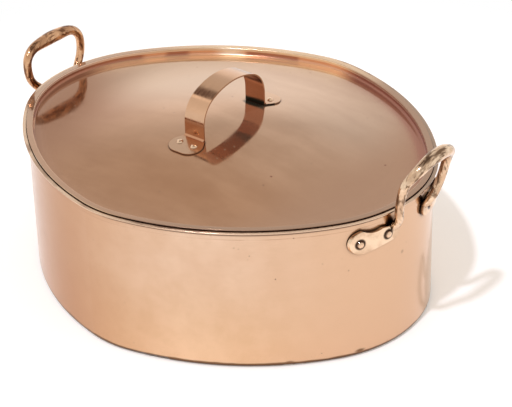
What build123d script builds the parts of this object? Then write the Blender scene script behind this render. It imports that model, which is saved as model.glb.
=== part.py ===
from build123d import *
import os
from math import asin, atan, atan2, cos, degrees, exp, hypot, radians, sin, sqrt, tan

# Turbot kettle in sheet copper, in millimetres. The origin is the middle of the base where it
# meets the table, +Z is up, +X runs along the long axis to the right-hand loop handle.

# Plan of the pan: an oval diamond of tangent arcs, given at the outside of the wall
half_length = 305.0
half_width = 261.0
end_radius = 181.0
side_radius = 154.5
flat_radius = 387.0

# Pan
rim_top = 209.5
pan_sheet = 2.0
rim_reach = 6.5
rim_bend = 5.0
rim_edge = 0.7
base_corner = 6.0
base_inset = 14.0
tin_skin = 0.4

# Cast loop handles
foot_thickness = 5.5
lobe_radius = 16.8
lobe_arc = 86.0
lobe_height = 176.5
heel_radius = 10.5
heel_arc = 37.5
heel_height = 176.5
waist_radius = 30.0
waist_bite = 2.6
foot_edge = 1.2
leg_radius = 6.0
leg_arc = 36.0
leg_flat = 0.7
leg_flat_from = 0.8
leg_clearance = 1.1
knee_reach = 0.72
knee_spread = 1.1
grip_radius = 9.4
grip_share = 0.3
left_spread = 55.0
left_rise = 52.5
left_lean = 5.0
left_shoulder = 0.91
right_spread = 48.5
right_rise = 74.5
right_lean = 25.0
right_shoulder = 0.86

# Rivets of the loop handles
rivet_shank = 3.2
rivet_head = 5.6
rivet_head_height = 3.6
rivet_inner_height = 2.2
rivet_fit = 0.05
rivet_crown = 0.25
rivet_cheek = 0.62
outer_rivet_arc = 88.0
outer_rivet_height = 175.5
inner_rivet_arc = 46.5
inner_rivet_height = 177.5
spot_face_gap = 0.4

# Lid
lid_sheet = 1.5
lid_rest = 0.6
lid_edge_reach = 1.0
lid_edge = 0.6
upstand_inset = 6.0
lid_recess = 11.0
lid_corner = 4.0
crown_rise = 29.5
crown_span = 244.0
crown_radius = 724.0

# Strap handle across the lid
strap_width = 33.0
strap_sheet = 2.0
strap_half_span = 66.5
strap_leg = 23.6
shoulder_radius = 40.0
shoulder_turn = 65.0
strap_fold = 2.5
plate_radius = 18.5
plate_reach = 18.0
plate_half_flat = 6.5
lid_rivet_shank = 2.4
lid_rivet_head = 4.7
lid_rivet_height = 2.8
lid_rivet_pitch = 24.0
lid_rivet_out = 16.5

# Drainer that stands in the pan
drainer_gap = 12.0
drainer_sheet = 1.6
drainer_stand = 14.0
drainer_rest = 0.3
hole_radius = 4.5
hole_pitch = 46.0
hole_margin = 26.0
bail_width = 22.0
bail_sheet = 2.4
bail_half_span = 44.0
bail_height = 118.0
bail_corner = 24.0
bail_inset = 34.0
bail_foot = 20.0
bail_fold = 3.0
bail_rivet_height = 2.4
bail_rivet_inner_height = 1.6

# Places that follow from the sizes above
end_centre = half_length - end_radius
side_centre = half_width - side_radius
floor_top = pan_sheet + tin_skin
flange_top = rim_top + lid_rest + lid_sheet
panel_top = flange_top - lid_recess
leg_outset = rim_reach + leg_clearance + leg_radius
drainer_foot = floor_top + drainer_rest
drainer_top = drainer_foot + drainer_stand


def flat_arc_centre():
    """Centre of the flat arc of the quarter +X +Y, tangent inside to the end arc and the side arc."""
    span = hypot(end_centre, side_centre)
    to_end = flat_radius - end_radius
    to_side = flat_radius - side_radius
    along = (to_end**2 - to_side**2 + span**2) / (2 * span)
    across = sqrt(to_end**2 - along**2)
    step = (-end_centre / span, side_centre / span)
    return (
        end_centre + along * step[0] - across * step[1],
        along * step[1] + across * step[0],
    )


flat_x, flat_y = flat_arc_centre()
end_angle = degrees(atan2(-flat_y, end_centre - flat_x))
side_angle = degrees(atan2(side_centre - flat_y, -flat_x))


def plan_edges(outset):
    """Edges of the plan outline, grown outwards from the outside of the wall."""
    with BuildLine() as outline:
        for turn in (0, 180):
            side = 1 if turn == 0 else -1
            CenterArc((side * end_centre, 0), end_radius + outset, turn - end_angle, 2 * end_angle)
            CenterArc(
                (0, side * side_centre),
                side_radius + outset,
                turn + side_angle,
                2 * (90 - side_angle),
            )
        for x_side in (1, -1):
            for y_side in (1, -1):
                if x_side * y_side > 0:
                    start = end_angle if x_side > 0 else 180 + end_angle
                else:
                    start = 180 - side_angle if y_side > 0 else 360 - side_angle
                CenterArc(
                    (x_side * flat_x, y_side * flat_y),
                    flat_radius + outset,
                    start,
                    side_angle - end_angle,
                )
    return outline.edges()


def plan_slab(outset, bottom, top):
    """A slab of the plan outline between two heights."""
    with BuildPart() as slab:
        with BuildSketch(Plane.XY.offset(bottom)):
            make_face(plan_edges(outset))
        extrude(amount=top - bottom)
    return slab.part


def plan_lip(outset, bottom, top, edge):
    """A slab of the plan outline with both corners of its outer edge worn round."""
    with BuildPart() as lip:
        add(plan_slab(outset, bottom, top))
        corners = lip.edges().filter_by(Plane.XY)
        fillet(corners, radius=edge)
    return lip.part


def plan_bowl(outset, bottom, top, corner):
    """A slab of the plan outline with its lower edge rounded, as a pressed or raised sheet has."""
    with BuildPart() as bowl:
        add(plan_slab(outset, bottom, top))
        fillet(bowl.faces().sort_by(Axis.Z)[0].edges(), radius=corner)
    return bowl.part


def wall_plane(end, arc, height, outset=0.0):
    """Plane on the end of the wall, with its Z axis pointing straight out of the sheet.

    arc is measured along the outside of the wall from the long axis, positive towards +Y."""
    angle = arc / end_radius
    outward = Vector(end * cos(angle), sin(angle), 0)
    middle = Vector(end * end_centre, 0, height)
    return Plane(origin=middle + outward * (end_radius + outset), x_dir=(0, 0, 1), z_dir=outward)


def handle_rivet_places():
    """The places of the two rivets of one foot, as arc and height."""
    return ((outer_rivet_arc, outer_rivet_height), (inner_rivet_arc, inner_rivet_height))


def handle_rivet_bores(ends):
    """Rods that bore the rivet holes through whatever lies at the ends of the wall."""
    with BuildPart() as bores:
        for end in ends:
            for side in (-1, 1):
                for arc, height in handle_rivet_places():
                    with BuildSketch(wall_plane(end, side * arc, height)):
                        Circle(rivet_shank + rivet_fit)
                    extrude(amount=3 * foot_thickness, both=True)
    return bores.part


def make_pan_wall():
    """Side sheet: turned out over a small bend at the rim, turned in under the base."""
    with BuildPart() as pan_wall:
        add(plan_bowl(0, 0, rim_top - pan_sheet, base_corner))
        add(plan_lip(rim_reach, rim_top - pan_sheet, rim_top, rim_edge))
        under_rim = pan_wall.faces().filter_by(Plane.XY).sort_by(Axis.Z)[-2]
        fillet(under_rim.inner_wires().edges(), radius=rim_bend)
        add(plan_bowl(-pan_sheet, pan_sheet, rim_top, base_corner - pan_sheet), mode=Mode.SUBTRACT)
        mouth = pan_wall.faces().sort_by(Axis.Z)[-1].inner_wires()
        fillet(mouth.edges(), radius=rim_bend - pan_sheet / 2)
        add(plan_slab(-base_inset, 0, pan_sheet), mode=Mode.SUBTRACT)
        add(handle_rivet_bores((1, -1)), mode=Mode.SUBTRACT)
    return pan_wall.part


def make_pan_base():
    """Flat base sheet, let in flush between the turned-in edges of the wall."""
    return plan_slab(-base_inset, 0, pan_sheet)


def make_pan_lining():
    """Tin wiped over the inside of the pan, up to the bend of the rim."""
    top = rim_top - rim_bend
    with BuildPart() as pan_lining:
        add(plan_bowl(-pan_sheet, pan_sheet, top, base_corner - pan_sheet))
        add(plan_bowl(-floor_top, floor_top, top, base_corner - floor_top), mode=Mode.SUBTRACT)
        add(handle_rivet_bores((1, -1)), mode=Mode.SUBTRACT)
    return pan_lining.part


def loop_line(spread, rise, lean, shoulder):
    """Centre line of a loop, from its leg in the front foot over the grip to the back foot.

    shoulder is the height of the loop's corners, as a share of its rise above the rim. Each bend
    between rim and grip has its width, height and lean as shares of the loop's own."""
    angle = leg_arc / end_radius
    foot_x = end_centre + (end_radius + foot_thickness / 2) * cos(angle)
    foot_y = end_radius * sin(angle)
    knee = rim_top - rim_bend - leg_radius
    bends = (
        (0.91, 0.04, 0.00),
        (1.00, 0.36, 0.22),
        (0.98, 0.4 + 0.3 * shoulder, 0.48),
        (0.76, shoulder, 0.83),
        (0.38, 0.8 + 0.2 * shoulder, 0.97),
    )
    half = [
        (foot_x, foot_y, heel_height + leg_radius),
        (half_length + knee_reach * leg_outset, knee_spread * foot_y, knee),
    ]
    for wide, high, out in bends:
        half.append((half_length + leg_outset + out * lean, wide * spread, rim_top + high * rise))
    front = [(x, -y, z) for x, y, z in half]
    grip = [(half_length + leg_outset + lean, 0, rim_top + rise)]
    with BuildLine() as loop:
        Spline(front + grip + half[::-1])
    return loop.line


def make_loop(spread, rise, lean, shoulder):
    """The bar of a loop: flat at the feet, round in the legs, swelling to the grip."""
    line = loop_line(spread, rise, lean, shoulder)
    tilt = atan2(lean, rise)
    facing = Vector(cos(tilt), 0, -sin(tilt))
    stations = 18
    with BuildPart() as loop:
        for step in range(stations + 1):
            share = step / stations
            along = line % share
            away = abs(2 * share - 1)
            swell = (grip_radius - leg_radius) * exp(-((away / grip_share) ** 2))
            flat = leg_flat * max(0.0, (away - leg_flat_from) / (1 - leg_flat_from))
            sideways = facing - along * facing.dot(along)
            with BuildSketch(Plane(origin=line @ share, x_dir=sideways, z_dir=along)):
                Ellipse(leg_radius + swell - flat, leg_radius + swell + flat)
        loft()
    return loop.part


def make_foot(side):
    """One foot of a cast handle: heel under the leg, drawn out to a round lobe, bent to the wall."""
    lobe_y = end_radius * sin(lobe_arc / end_radius)
    heel_y = end_radius * sin(heel_arc / end_radius)
    waist_y = (lobe_y + heel_y) / 2 + lobe_radius / 3
    waist_z = (lobe_height + lobe_radius + heel_height + heel_radius) / 2
    with BuildPart() as foot:
        with BuildSketch(Plane.YZ.offset(end_centre)):
            with Locations((side * lobe_y, lobe_height)):
                Circle(lobe_radius)
            with Locations((side * heel_y, heel_height)):
                Circle(heel_radius)
            make_hull()
            with Locations((side * waist_y, waist_z + waist_radius - waist_bite)):
                Circle(waist_radius, mode=Mode.SUBTRACT)
        extrude(amount=end_radius + 2 * foot_thickness)
        with BuildSketch(Plane.XY.offset(lobe_height - 2 * lobe_radius)):
            with Locations((end_centre, 0)):
                Circle(end_radius + foot_thickness)
                Circle(end_radius, mode=Mode.SUBTRACT)
        extrude(amount=4 * lobe_radius, mode=Mode.INTERSECT)
        face = foot.faces().filter_by(GeomType.CYLINDER).sort_by(Axis.X)[-1]
        fillet(face.edges(), radius=foot_edge)
    return foot.part


def make_handle(spread, rise, lean, shoulder):
    """A cast loop handle at the +X end: one loop and two feet in a single casting."""
    with BuildPart() as handle:
        add(make_loop(spread, rise, lean, shoulder))
        for side in (-1, 1):
            add(make_foot(side))
        add(plan_slab(0, 0, rim_top - pan_sheet), mode=Mode.SUBTRACT)
        add(handle_rivet_bores((1,)), mode=Mode.SUBTRACT)
        for side in (-1, 1):
            for arc, height in handle_rivet_places():
                with BuildSketch(wall_plane(1, side * arc, height, foot_thickness)):
                    Circle(rivet_head + spot_face_gap)
                extrude(amount=2 * rivet_head_height, mode=Mode.SUBTRACT)
    return handle.part


def rivet_solid(grip, inner_depth, shank, head, head_height, inner_height):
    """A rivet on the Z axis: domed head above z = 0, flat hammered head below the sheets."""
    dome = (1 - rivet_crown) * head
    with BuildPart() as rivet:
        with BuildSketch(Plane.XZ):
            with BuildLine():
                Polyline(
                    (0, head_height),
                    (rivet_crown * head, head_height),
                    (dome, rivet_cheek * head_height),
                    (head, 0),
                    (shank, 0),
                    (shank, -grip),
                    (shank, -inner_depth),
                    (head, -inner_depth),
                    (dome, -inner_depth - inner_height),
                    (0, -inner_depth - inner_height),
                    close=True,
                )
            make_face()
        revolve(axis=Axis.Z)
    return rivet.part


def make_handle_rivets(end, side):
    """The two rivets of one foot, as a group of separate solids."""
    inner_wall = end_radius - floor_top
    inner_depth = foot_thickness + end_radius - sqrt(inner_wall**2 - rivet_head**2)
    rivet = rivet_solid(
        foot_thickness, inner_depth, rivet_shank, rivet_head, rivet_head_height, rivet_inner_height
    )
    with BuildPart() as rivets:
        for arc, height in handle_rivet_places():
            with Locations(wall_plane(end, side * arc, height, foot_thickness)):
                add(rivet)
    return rivets.part


def crown_profile(radius):
    """Height of the lid's crown above its flat margin, and its slope in radians, at a radius."""
    tilt = 2 * atan(crown_rise / crown_span)
    shoulder = crown_radius * sin(tilt)
    blend = (crown_span - shoulder) / sin(tilt)
    if radius < shoulder:
        slope = asin(radius / crown_radius)
        return crown_rise - crown_radius * (1 - cos(slope)), slope
    slope = asin((crown_span - radius) / blend)
    return blend * (1 - cos(slope)), slope


def crown_solid(drop):
    """Everything under the crowned top of the lid's panel, lowered square to the sheet by drop."""
    tilt = 2 * atan(crown_rise / crown_span)
    shoulder = crown_radius * sin(tilt)
    blend = (crown_span - shoulder) / sin(tilt)
    convex = crown_radius - drop
    hollow = blend + drop
    margin = panel_top - drop
    reach = half_length + half_width
    top = panel_top + crown_rise - drop
    middle = panel_top + crown_rise - crown_radius
    knee = (convex * sin(tilt), middle + convex * cos(tilt))
    with BuildPart() as crown:
        with BuildSketch(Plane.XZ):
            with BuildLine():
                Line((0, 0), (0, top))
                CenterArc((0, middle), convex, 90, -degrees(tilt))
                CenterArc((crown_span, margin + hollow), hollow, 270 - degrees(tilt), degrees(tilt))
                Polyline((crown_span, margin), (reach, margin), (reach, 0), (0, 0))
            make_face()
        revolve(axis=Axis.Z)
    return crown.part


def crown_plane(x, y, above=0.0):
    """Plane square to the crown at a place in plan, with its origin above the lid's top face."""
    radius = hypot(x, y)
    height, slope = crown_profile(radius)
    normal = Vector(x / radius * sin(slope), y / radius * sin(slope), cos(slope))
    point = Vector(x, y, panel_top + height)
    return Plane(origin=point + normal * above, x_dir=(1, 0, 0), z_dir=normal)


def lid_rivet_places(side):
    """The places in plan of the two rivets of one foot of the lid's handle."""
    y = side * (strap_half_span + lid_rivet_out)
    return ((-lid_rivet_pitch / 2, y), (lid_rivet_pitch / 2, y))


def lid_rivet_bores():
    """Rods that bore the rivet holes through whatever lies under the feet of the lid's handle."""
    with BuildPart() as bores:
        for x, y in lid_rivet_places(-1) + lid_rivet_places(1):
            with BuildSketch(crown_plane(x, y)):
                Circle(lid_rivet_shank + rivet_fit)
            extrude(amount=4 * strap_sheet, both=True)
    return bores.part


def make_lid_sheet():
    """Lid in one sheet: flange on the rim, upstand inside the wall, panel raised to a crown."""
    under = panel_top - lid_sheet
    with BuildPart() as lid:
        add(plan_bowl(-upstand_inset, under, flange_top, lid_corner + lid_sheet))
        add(plan_lip(lid_edge_reach, flange_top - lid_sheet, flange_top, lid_edge))
        recess = plan_bowl(-upstand_inset - lid_sheet, panel_top, flange_top, lid_corner)
        add(recess, mode=Mode.SUBTRACT)
        mouth = lid.faces().sort_by(Axis.Z)[-1].inner_wires()
        fillet(mouth.edges(), radius=lid_sheet)
        with BuildSketch(Plane.XY.offset(under)):
            Circle(crown_span)
        extrude(amount=lid_sheet, mode=Mode.SUBTRACT)
        add(crown_shell(0, lid_sheet))
        add(lid_rivet_bores(), mode=Mode.SUBTRACT)
    return lid.part


def crown_shell(drop, thickness):
    """The crowned disc of a sheet, from drop under the lid's top face down by its thickness."""
    with BuildPart() as shell:
        with BuildSketch(Plane.XY.offset(panel_top - drop - thickness)):
            Circle(crown_span)
        extrude(amount=crown_rise + thickness)
        add(crown_solid(drop), mode=Mode.INTERSECT)
        add(crown_solid(drop + thickness), mode=Mode.SUBTRACT)
    return shell.part


def make_lid_lining():
    """Tin wiped over the underside of the lid, inside its rounded corner."""
    under = panel_top - lid_sheet
    with BuildPart() as lining:
        with BuildSketch(Plane.XY.offset(under - tin_skin)):
            make_face(plan_edges(-upstand_inset - lid_corner - lid_sheet))
            Circle(crown_span, mode=Mode.SUBTRACT)
        extrude(amount=tin_skin)
        add(crown_shell(lid_sheet, tin_skin))
        add(lid_rivet_bores(), mode=Mode.SUBTRACT)
    return lining.part


def strap_edges(inset, foot_z):
    """Closed outline under the strip's outer face, or under a parallel of it set inwards."""
    half = strap_half_span - inset
    spring = foot_z + strap_leg
    shoulder = strap_half_span - shoulder_radius
    turn = radians(shoulder_turn)
    top_radius = shoulder_radius + shoulder / cos(turn)
    top_centre = spring - shoulder * tan(turn)
    with BuildLine() as outline:
        Polyline((-half, spring), (-half, foot_z), (half, foot_z), (half, spring))
        CenterArc((shoulder, spring), shoulder_radius - inset, 0, shoulder_turn)
        CenterArc((0, top_centre), top_radius - inset, shoulder_turn, 180 - 2 * shoulder_turn)
        CenterArc((-shoulder, spring), shoulder_radius - inset, 180 - shoulder_turn, shoulder_turn)
    return outline.edges()


def make_plate(side):
    """Round-ended plate of one foot of the lid's handle, wider than the strip, hammered to the crown."""
    with BuildPart() as plate:
        with BuildSketch(crown_plane(0, side * strap_half_span)):
            with Locations([(x, side * plate_reach) for x in (-plate_half_flat, plate_half_flat)]):
                Circle(plate_radius)
            with Locations((0, -side * strap_sheet / 2)):
                Rectangle(strap_width, strap_sheet)
            make_hull()
        extrude(amount=2 * strap_sheet, both=True)
        add(crown_solid(-strap_sheet), mode=Mode.INTERSECT)
        add(crown_solid(0), mode=Mode.SUBTRACT)
    return plate.part


def make_lid_handle():
    """Strap handle: one strip bent to an arch, its ends folded out into two round plates."""
    foot_z = panel_top + crown_profile(strap_half_span)[0]
    with BuildPart() as strap:
        with BuildSketch(Plane.YZ.offset(-strap_width / 2)):
            make_face(strap_edges(0, foot_z - strap_sheet))
            make_face(strap_edges(strap_sheet, foot_z - strap_sheet), mode=Mode.SUBTRACT)
            for side in (-1, 1):
                with BuildLine():
                    Polyline(
                        (side * strap_half_span, foot_z),
                        (side * strap_half_span, foot_z + strap_sheet + strap_fold),
                        (side * (strap_half_span + strap_fold), foot_z + strap_sheet / 2),
                        (side * (strap_half_span + strap_fold), foot_z - strap_sheet / 2),
                        close=True,
                    )
                make_face()
        extrude(amount=strap_width)
        for side in (-1, 1):
            add(make_plate(side))
        add(crown_solid(0), mode=Mode.SUBTRACT)
        add(lid_rivet_bores(), mode=Mode.SUBTRACT)
    return strap.part


def make_lid_rivets(side):
    """The two rivets of one foot of the lid's handle."""
    inner_crown = crown_radius - lid_sheet - tin_skin
    depth = strap_sheet + crown_radius - sqrt(inner_crown**2 - lid_rivet_head**2)
    rivet = rivet_solid(
        strap_sheet, depth, lid_rivet_shank, lid_rivet_head, lid_rivet_height, lid_rivet_height / 2
    )
    with BuildPart() as rivets:
        for x, y in lid_rivet_places(side):
            with Locations(crown_plane(x, y, strap_sheet)):
                add(rivet)
    return rivets.part


def bail_places():
    """Middle of the two feet of one bail of the drainer, at the +X end."""
    x = half_length - drainer_gap - bail_inset
    y = bail_half_span - bail_foot / 2
    return [(x, y), (x, -y)]


def make_drainer_plate():
    """Pierced plate that lifts the fish, on a turned-down edge that stands on the base."""
    skirt = drainer_gap + drainer_sheet
    rows = int((half_width - hole_margin - drainer_gap) / (hole_pitch * sqrt(3) / 2))
    columns = int(half_length / hole_pitch) + 1
    with BuildPart() as drainer:
        with BuildSketch(Plane.XY.offset(drainer_foot)):
            make_face(plan_edges(-drainer_gap))
        extrude(amount=drainer_stand)
        fillet(drainer.faces().sort_by(Axis.Z)[-1].edges(), radius=2 * drainer_sheet)
        with BuildSketch(Plane.XY.offset(drainer_foot)):
            make_face(plan_edges(-skirt))
        extrude(amount=drainer_stand - drainer_sheet, mode=Mode.SUBTRACT)
        places = []
        for row in range(-rows, rows + 1):
            shift = hole_pitch / 2 if row % 2 else 0.0
            for column in range(-columns, columns + 1):
                x = column * hole_pitch + shift
                y = row * hole_pitch * sqrt(3) / 2
                if hole_fits(x, y):
                    places.append((x, y))
        with BuildSketch(Plane.XY.offset(drainer_top)):
            with Locations(places):
                Circle(hole_radius)
        extrude(amount=-2 * drainer_sheet, mode=Mode.SUBTRACT)
        with BuildSketch(Plane.XY.offset(drainer_top)):
            with Locations([(end * x, y) for end in (-1, 1) for x, y in bail_places()]):
                Circle(rivet_shank + rivet_fit)
        extrude(amount=-2 * drainer_sheet, mode=Mode.SUBTRACT)
    return drainer.part


def hole_fits(x, y):
    """True where a drain hole keeps clear of the plate's edge and of the feet of the bails."""
    room = hole_margin + drainer_gap
    inside_end = hypot(abs(x) - end_centre, y) < end_radius - room
    inside_flat = hypot(abs(x) - flat_x, abs(y) - flat_y) < flat_radius - room
    inside_side = abs(y) < half_width - room
    near_bail = abs(x) > half_length - drainer_gap - bail_inset - bail_width
    within = inside_flat and inside_side and (inside_end or abs(x) < end_centre)
    return within and not near_bail


def bail_outline(inset):
    """Face inside the bent strip of a bail, standing on the sketch's X axis."""
    with BuildSketch() as outline:
        with Locations((0, bail_height / 2)):
            Rectangle(2 * (bail_half_span - inset), bail_height - 2 * inset)
        corners = outline.vertices().group_by(Axis.Y)
        fillet(corners[-1], radius=bail_corner - inset)
        fillet(corners[0], radius=bail_fold - inset)
    return outline.sketch


def make_bail():
    """Upright bail of the drainer at the +X end: a strip bent square, with its feet turned in."""
    x = half_length - drainer_gap - bail_inset - bail_width / 2
    with BuildPart() as bail:
        with BuildSketch(Plane.YZ.offset(x)):
            with Locations((0, drainer_top)):
                add(bail_outline(0))
                add(bail_outline(bail_sheet), mode=Mode.SUBTRACT)
                Rectangle(2 * (bail_half_span - bail_foot), 3 * bail_sheet, mode=Mode.SUBTRACT)
        extrude(amount=bail_width)
        with BuildSketch(Plane.XY.offset(drainer_top)):
            with Locations(bail_places()):
                Circle(rivet_shank + rivet_fit)
        extrude(amount=2 * bail_sheet, mode=Mode.SUBTRACT)
    return bail.part


def make_bail_rivets():
    """The two rivets of the bail at the +X end."""
    depth = bail_sheet + drainer_sheet
    rivet = rivet_solid(
        bail_sheet, depth, rivet_shank, rivet_head, bail_rivet_height, bail_rivet_inner_height
    )
    with BuildPart() as rivets:
        with Locations([(x, y, drainer_top + bail_sheet) for x, y in bail_places()]):
            add(rivet)
    return rivets.part


def to_left(part):
    """The same piece at the other end of the kettle."""
    return mirror(part, about=Plane.YZ)


pieces = {
    "pan_wall": make_pan_wall(),
    "pan_base": make_pan_base(),
    "pan_tin_lining": make_pan_lining(),
    "handle_left": to_left(make_handle(left_spread, left_rise, left_lean, left_shoulder)),
    "handle_right": make_handle(right_spread, right_rise, right_lean, right_shoulder),
    "lid_sheet": make_lid_sheet(),
    "lid_tin_lining": make_lid_lining(),
    "lid_handle": make_lid_handle(),
    "drainer_plate": make_drainer_plate(),
    "drainer_bail_right": make_bail(),
    "drainer_bail_left": to_left(make_bail()),
    "drainer_rivets_right": make_bail_rivets(),
    "drainer_rivets_left": to_left(make_bail_rivets()),
}
for side, place in ((-1, "front"), (1, "back")):
    pieces["handle_right_rivets_" + place] = make_handle_rivets(1, side)
    pieces["handle_left_rivets_" + place] = make_handle_rivets(-1, side)
    pieces["lid_handle_rivets_" + place] = make_lid_rivets(side)

os.makedirs("parts", exist_ok=True)
for name, piece in pieces.items():
    piece.label = name
    export_step(piece, "parts/" + name + ".step")
    print(name, len(piece.solids()), "solids", round(piece.volume / 1000, 1), "cm3")
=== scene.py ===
# %% [markdown]
# # A copper turbot kettle
#
# This notebook dresses the model of a turbot kettle: a flat, diamond-shaped copper pan with a
# lid that sits down inside its rim, two cast loops to carry it by, and a strap on the lid. The
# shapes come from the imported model, and nothing here moves or changes them, so the work is the
# camera, the metals with their wear and dirt, the floor and the light.

from math import cos, pi, radians, sin

import bpy
from mathutils import Matrix, Vector


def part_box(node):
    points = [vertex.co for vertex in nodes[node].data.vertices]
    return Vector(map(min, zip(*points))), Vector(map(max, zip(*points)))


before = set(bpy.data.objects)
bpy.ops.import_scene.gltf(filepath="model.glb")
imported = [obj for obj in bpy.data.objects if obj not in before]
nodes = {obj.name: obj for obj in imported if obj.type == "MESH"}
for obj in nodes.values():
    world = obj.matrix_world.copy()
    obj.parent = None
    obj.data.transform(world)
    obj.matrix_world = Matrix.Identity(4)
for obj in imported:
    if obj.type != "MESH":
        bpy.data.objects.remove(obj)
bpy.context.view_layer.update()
print("nodes:", sorted(nodes))


# %% Measure a piece
def size_of(name):
    """Width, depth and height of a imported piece, in whole millimetres."""
    low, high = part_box(name)
    return [round((top - bottom) * 1000) for bottom, top in zip(low, high)]


print("the wall of the pan measures", size_of("pan_wall"), "mm")

# %% [markdown]
# ## Camera
#
# A long lens looks down on the kettle from its front right corner. A camera can be placed by
# eye, dragging it until the view looks right, or it can be measured. Here it was measured,
# because every highlight depends on it: the outlines of the rim, of the base and of the lid's
# strap were laid over the photograph, and the place and the angles that fit all three are
# written below. The photograph is 512 pixels wide, and Blender gives a lens in millimetres for
# a sensor of some width, so the length of the lens is changed from pixels first.

# %% Lens
picture_width = 512
focal_pixels = 2000.0
sensor_width = 36.0
lens_length = focal_pixels / picture_width * sensor_width
print("lens", round(lens_length, 1), "mm long")

# %% Place the camera
camera_heading = radians(38.9923)
camera_tilt = radians(30.5455)
camera_roll = radians(1.5714)
camera_distance = 2.8516
camera_right = 0.0360
camera_down = -0.0806


def place_camera():
    """A camera that looks at the origin from its heading and tilt, then slides sideways and down."""
    ahead = Vector((0.0, cos(camera_tilt), -sin(camera_tilt)))
    level = Vector((1.0, 0.0, 0.0))
    below = Vector((0.0, -sin(camera_tilt), -cos(camera_tilt)))
    right = level * cos(camera_roll) + below * sin(camera_roll)
    down = below * cos(camera_roll) - level * sin(camera_roll)
    place = level * camera_right + down * camera_down - ahead * camera_distance
    looks = Matrix((right, -down, -ahead)).transposed().to_4x4()
    turn = Matrix.Rotation(camera_heading, 4, "Z")
    data = bpy.data.cameras.new("camera")
    data.sensor_width = sensor_width
    data.lens = lens_length
    camera = bpy.data.objects.new("camera", data)
    bpy.context.scene.collection.objects.link(camera)
    camera.matrix_world = turn @ Matrix.Translation(place) @ looks
    bpy.context.scene.camera = camera
    return camera


camera = place_camera()
print("camera at", [round(number, 3) for number in camera.matrix_world.translation])

# %% [markdown]
# ## A tool box for materials
#
# A material in Blender is a graph of nodes. It could be joined by hand in the shader editor, or
# written out node by node, which takes several lines for each. These helpers add a node, set its
# sockets by name and give back its output, so that each finish below reads as a short recipe. A
# value that is another node's output is linked, and a plain number or colour is set on the
# socket.

# %% Add and join nodes
class NodeGraph:
    """One tree of nodes, emptied first."""

    def __init__(self, tree):
        self.tree = tree
        self.tree.nodes.clear()

    def add(self, kind, sockets=None, **settings):
        """A node with its settings; sockets maps socket names or numbers to values or outputs."""
        node = self.tree.nodes.new(kind)
        for name, value in settings.items():
            setattr(node, name, value)
        for name, value in (sockets or {}).items():
            self.feed(node.inputs[name], value)
        return node

    def feed(self, socket, value):
        """Links an output to a socket, or sets the socket to a plain value."""
        if isinstance(value, bpy.types.NodeSocket):
            self.tree.links.new(value, socket)
        else:
            socket.default_value = value


def helpers_of(kind):
    """The names of the helpers that a class adds."""
    return ", ".join(name for name in vars(kind) if not name.startswith("_"))


print("node helpers:", helpers_of(NodeGraph))

# %% [markdown]
# ## Masks
#
# Most of a finish is masks: numbers from 0 to 1 that say how much a colour counts at each place.
# A mask could be painted on a picture of the surface, but that needs the surface unwrapped, and
# the picture would look coarse close up. Here masks are sums of heights, distances and noise. A
# smooth step turns such a number into a soft-edged mask.

# %% Sums and masks
class MaskGraph(NodeGraph):
    """A tree of nodes that can also do sums."""

    def math(self, operation, first, second=0.0):
        """One sum of two numbers."""
        return self.add("ShaderNodeMath", {0: first, 1: second}, operation=operation).outputs[0]

    def plus(self, first, second):
        """Both numbers added."""
        return self.math("ADD", first, second)

    def times(self, first, second):
        """Both numbers multiplied, which is where two masks overlap."""
        return self.math("MULTIPLY", first, second)

    def larger(self, first, second):
        """The larger number, which is where either of two masks lies."""
        return self.math("MAXIMUM", first, second)

    def outside(self, mask):
        """The same mask turned inside out."""
        return self.math("SUBTRACT", 1.0, mask)

    def ramp(self, value, low, high, to_low=0.0, to_high=1.0):
        """Stretches low..high of a value to to_low..to_high with a smooth step, flat at both ends."""
        span = {"From Min": low, "From Max": high, "To Min": to_low, "To Max": to_high}
        node = self.add("ShaderNodeMapRange", span, interpolation_type="SMOOTHSTEP")
        self.feed(node.inputs["Value"], value)
        return node.outputs["Result"]

    def fall(self, value, low, high):
        """A mask that is 1 below low and 0 above high."""
        return self.ramp(value, low, high, 1.0, 0.0)


print("mask helpers:", helpers_of(MaskGraph))


# %% Places, noise, colours and relief
class Recipe(MaskGraph):
    """A tree of nodes, with the steps that a finish is made of."""

    def stretch(self, vector, x, y, z):
        """A place or direction, with each of its three numbers multiplied by a factor."""
        return self.add("ShaderNodeVectorMath", {0: vector, 1: (x, y, z)}, operation="MULTIPLY").outputs[0]

    def along(self, vector, axis):
        """One of the three numbers of a place or direction."""
        return self.add("ShaderNodeSeparateXYZ", {"Vector": vector}).outputs[axis]

    def away(self, place, middle):
        """Distance from a middle."""
        node = self.add("ShaderNodeVectorMath", {0: place, 1: middle}, operation="DISTANCE")
        return node.outputs["Value"]

    def noise(self, vector, scale=1.0, detail=2.0, roughness=0.5):
        """Soft random patches from 0 to 1; scale is how many there are to a metre."""
        sockets = {"Vector": vector, "Scale": scale, "Detail": detail, "Roughness": roughness}
        return self.add("ShaderNodeTexNoise", sockets).outputs["Fac"]

    def mix(self, share, first, second):
        """The first colour, fading to the second as share goes from 0 to 1."""
        return self.add("ShaderNodeMix", {0: share, 6: first, 7: second}, data_type="RGBA").outputs[2]

    def bump(self, height, depth, before=None):
        """Small relief: height from 0 to 1 raises the surface by depth, in metres."""
        node = self.add("ShaderNodeBump", {"Height": height, "Strength": 1.0, "Distance": depth})
        if before is not None:
            self.feed(node.inputs["Normal"], before)
        return node.outputs["Normal"]

    def metal(self, colour, roughness, normal, bare=1.0):
        """The metal and the material's output; bare is below 1 under a dull veil of tarnish."""
        sockets = {"Base Color": colour, "Roughness": roughness, "Metallic": bare, "Normal": normal}
        surface = self.add("ShaderNodeBsdfPrincipled", sockets)
        self.add("ShaderNodeOutputMaterial", {"Surface": surface.outputs[0]})


print("finish helpers:", helpers_of(Recipe))


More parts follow.
